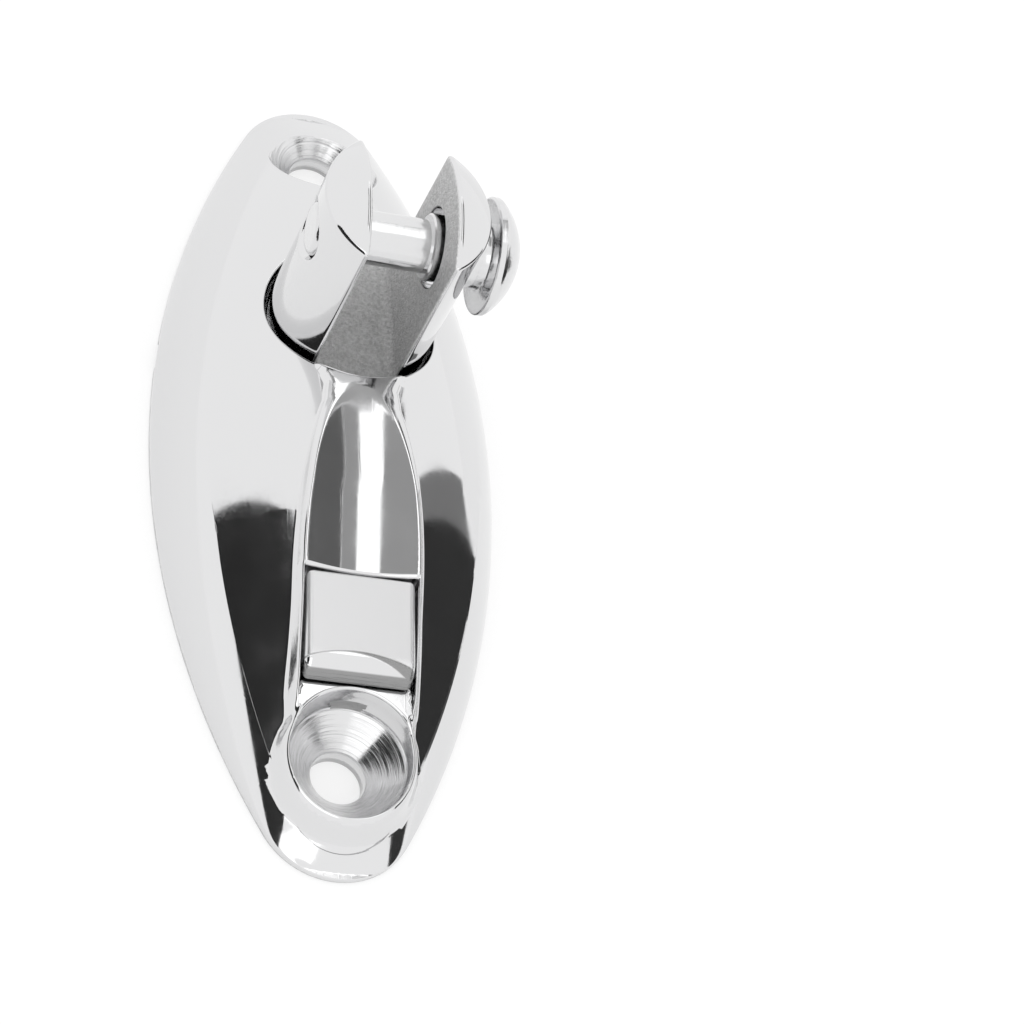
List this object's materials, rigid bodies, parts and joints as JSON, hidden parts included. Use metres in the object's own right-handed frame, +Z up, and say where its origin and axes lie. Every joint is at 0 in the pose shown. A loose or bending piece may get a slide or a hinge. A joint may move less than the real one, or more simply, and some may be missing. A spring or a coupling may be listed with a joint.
{
  "type": "swivel deck hinge",
  "caption": "Oval domed deck base with an upright fork that swivels, a clevis pin through the fork and a sliding release button on the spine.",
  "frame": {"origin": "middle of the base's flat underside", "axes": "+X across the base, +Y along it from the button end towards the fork end, +Z up out of the deck"},
  "size_m": [0.0426, 0.109, 0.0394],
  "materials": {
    "polished_casting": "cast stainless steel, mirror polished outside",
    "polished_fork": "cast stainless steel, mirror polished outside and blasted grey inside the slot",
    "turned_pin": "turned stainless steel with fine lengthwise and turning marks",
    "polished_button": "cast stainless steel, polished",
    "plain_plate": "stamped stainless sheet",
    "plain_screw": "plain stainless steel",
    "spring_wire": "drawn stainless wire"
  },
  "bodies": {
    "base": {"base_casting": "polished_casting", "cover_plate": "plain_plate", "cover_screw_1": "plain_screw", "cover_screw_2": "plain_screw", "cover_screw_3": "plain_screw", "cover_screw_4": "plain_screw", "latch_spring": "spring_wire"},
    "swivel": {"swivel_fork": "polished_fork"},
    "pin": {"clevis_pin": "turned_pin"},
    "latch": {"latch_button": "polished_button", "latch_plate": "plain_plate", "plate_screw": "plain_screw"}
  },
  "joints": [
    {"name": "fork_swivel", "type": "hinge", "parent": "base", "child": "swivel", "pos_m": [0, 0.0136, 0.0152], "axis": [0, 0, 1], "continuous": true},
    {"name": "pin_withdraw", "type": "slide", "parent": "swivel", "child": "pin", "axis": [1, 0, 0], "range_m": [0, 0.018]},
    {"name": "latch_release", "type": "slide", "parent": "base", "child": "latch", "axis": [0, -1, 0], "range_m": [0, 0.004], "stiffness_N_per_m": 2500, "springref_m": -0.002, "deforming": ["latch_spring"]}
  ]
}
